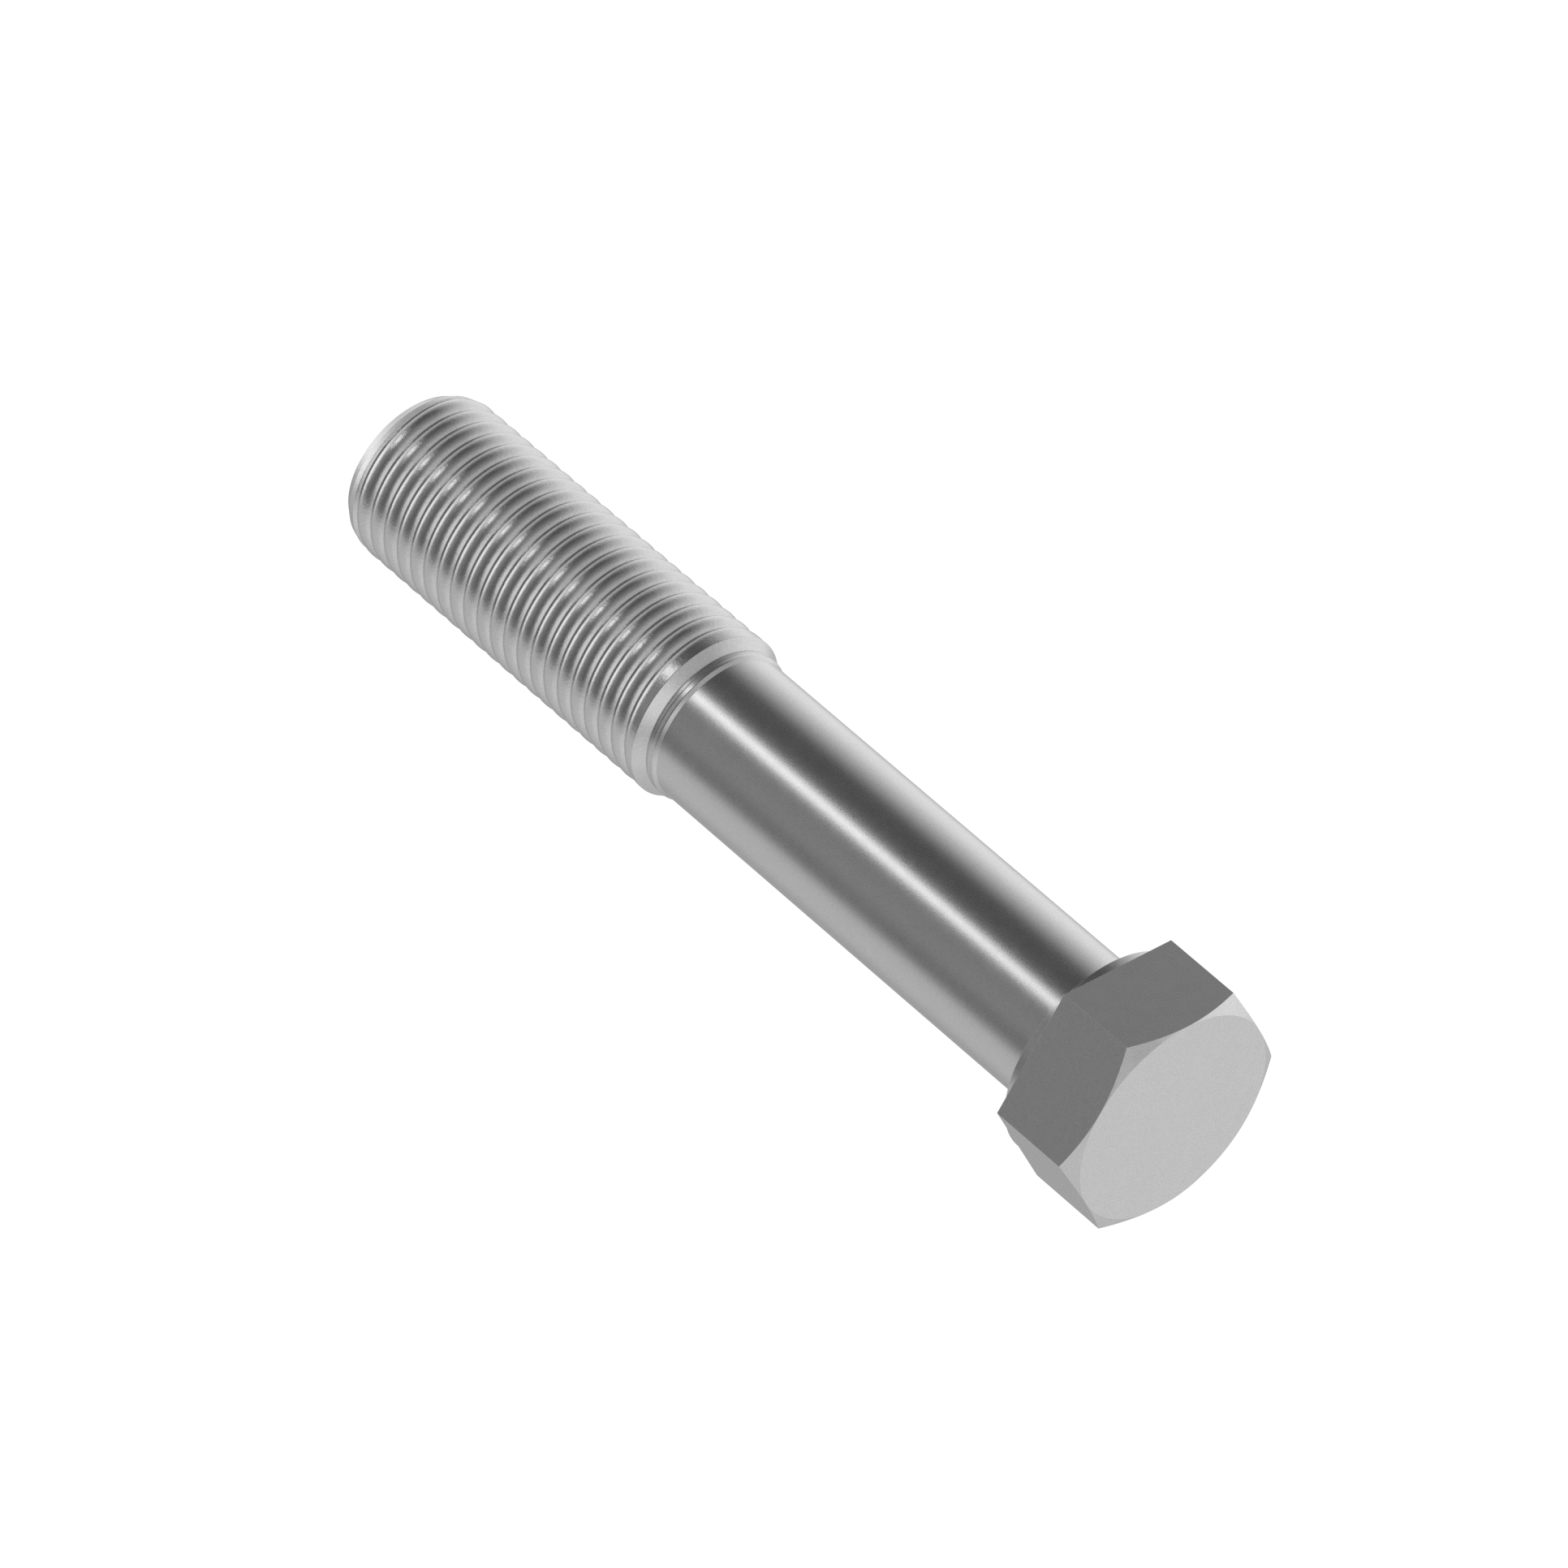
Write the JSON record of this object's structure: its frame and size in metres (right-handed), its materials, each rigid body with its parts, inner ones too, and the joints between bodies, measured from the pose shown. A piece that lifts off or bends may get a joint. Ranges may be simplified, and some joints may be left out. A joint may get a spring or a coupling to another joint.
{
  "type": "hex bolt",
  "caption": "Hex bolt with a chamfered head, round bearing face, reduced plain shank and a coarse right-hand metric thread ending in a chamfered point.",
  "frame": {"origin": "centre of the bearing face under the head, on the bolt axis", "axes": "+X along the bolt axis, out through the top of the head, so the thread points along -X. One flat of the hexagon faces +Z"},
  "size_m": [0.1659, 0.0392, 0.034],
  "materials": {
    "head_steel": "fine matt grain, as a machined and blasted hexagon",
    "shank_steel": "satin, turned",
    "thread_steel": "bright, rolled"
  },
  "bodies": {
    "root": {"hex_head": "head_steel", "washer_face": "head_steel", "shank": "shank_steel", "thread": "thread_steel"}
  },
  "joints": []
}
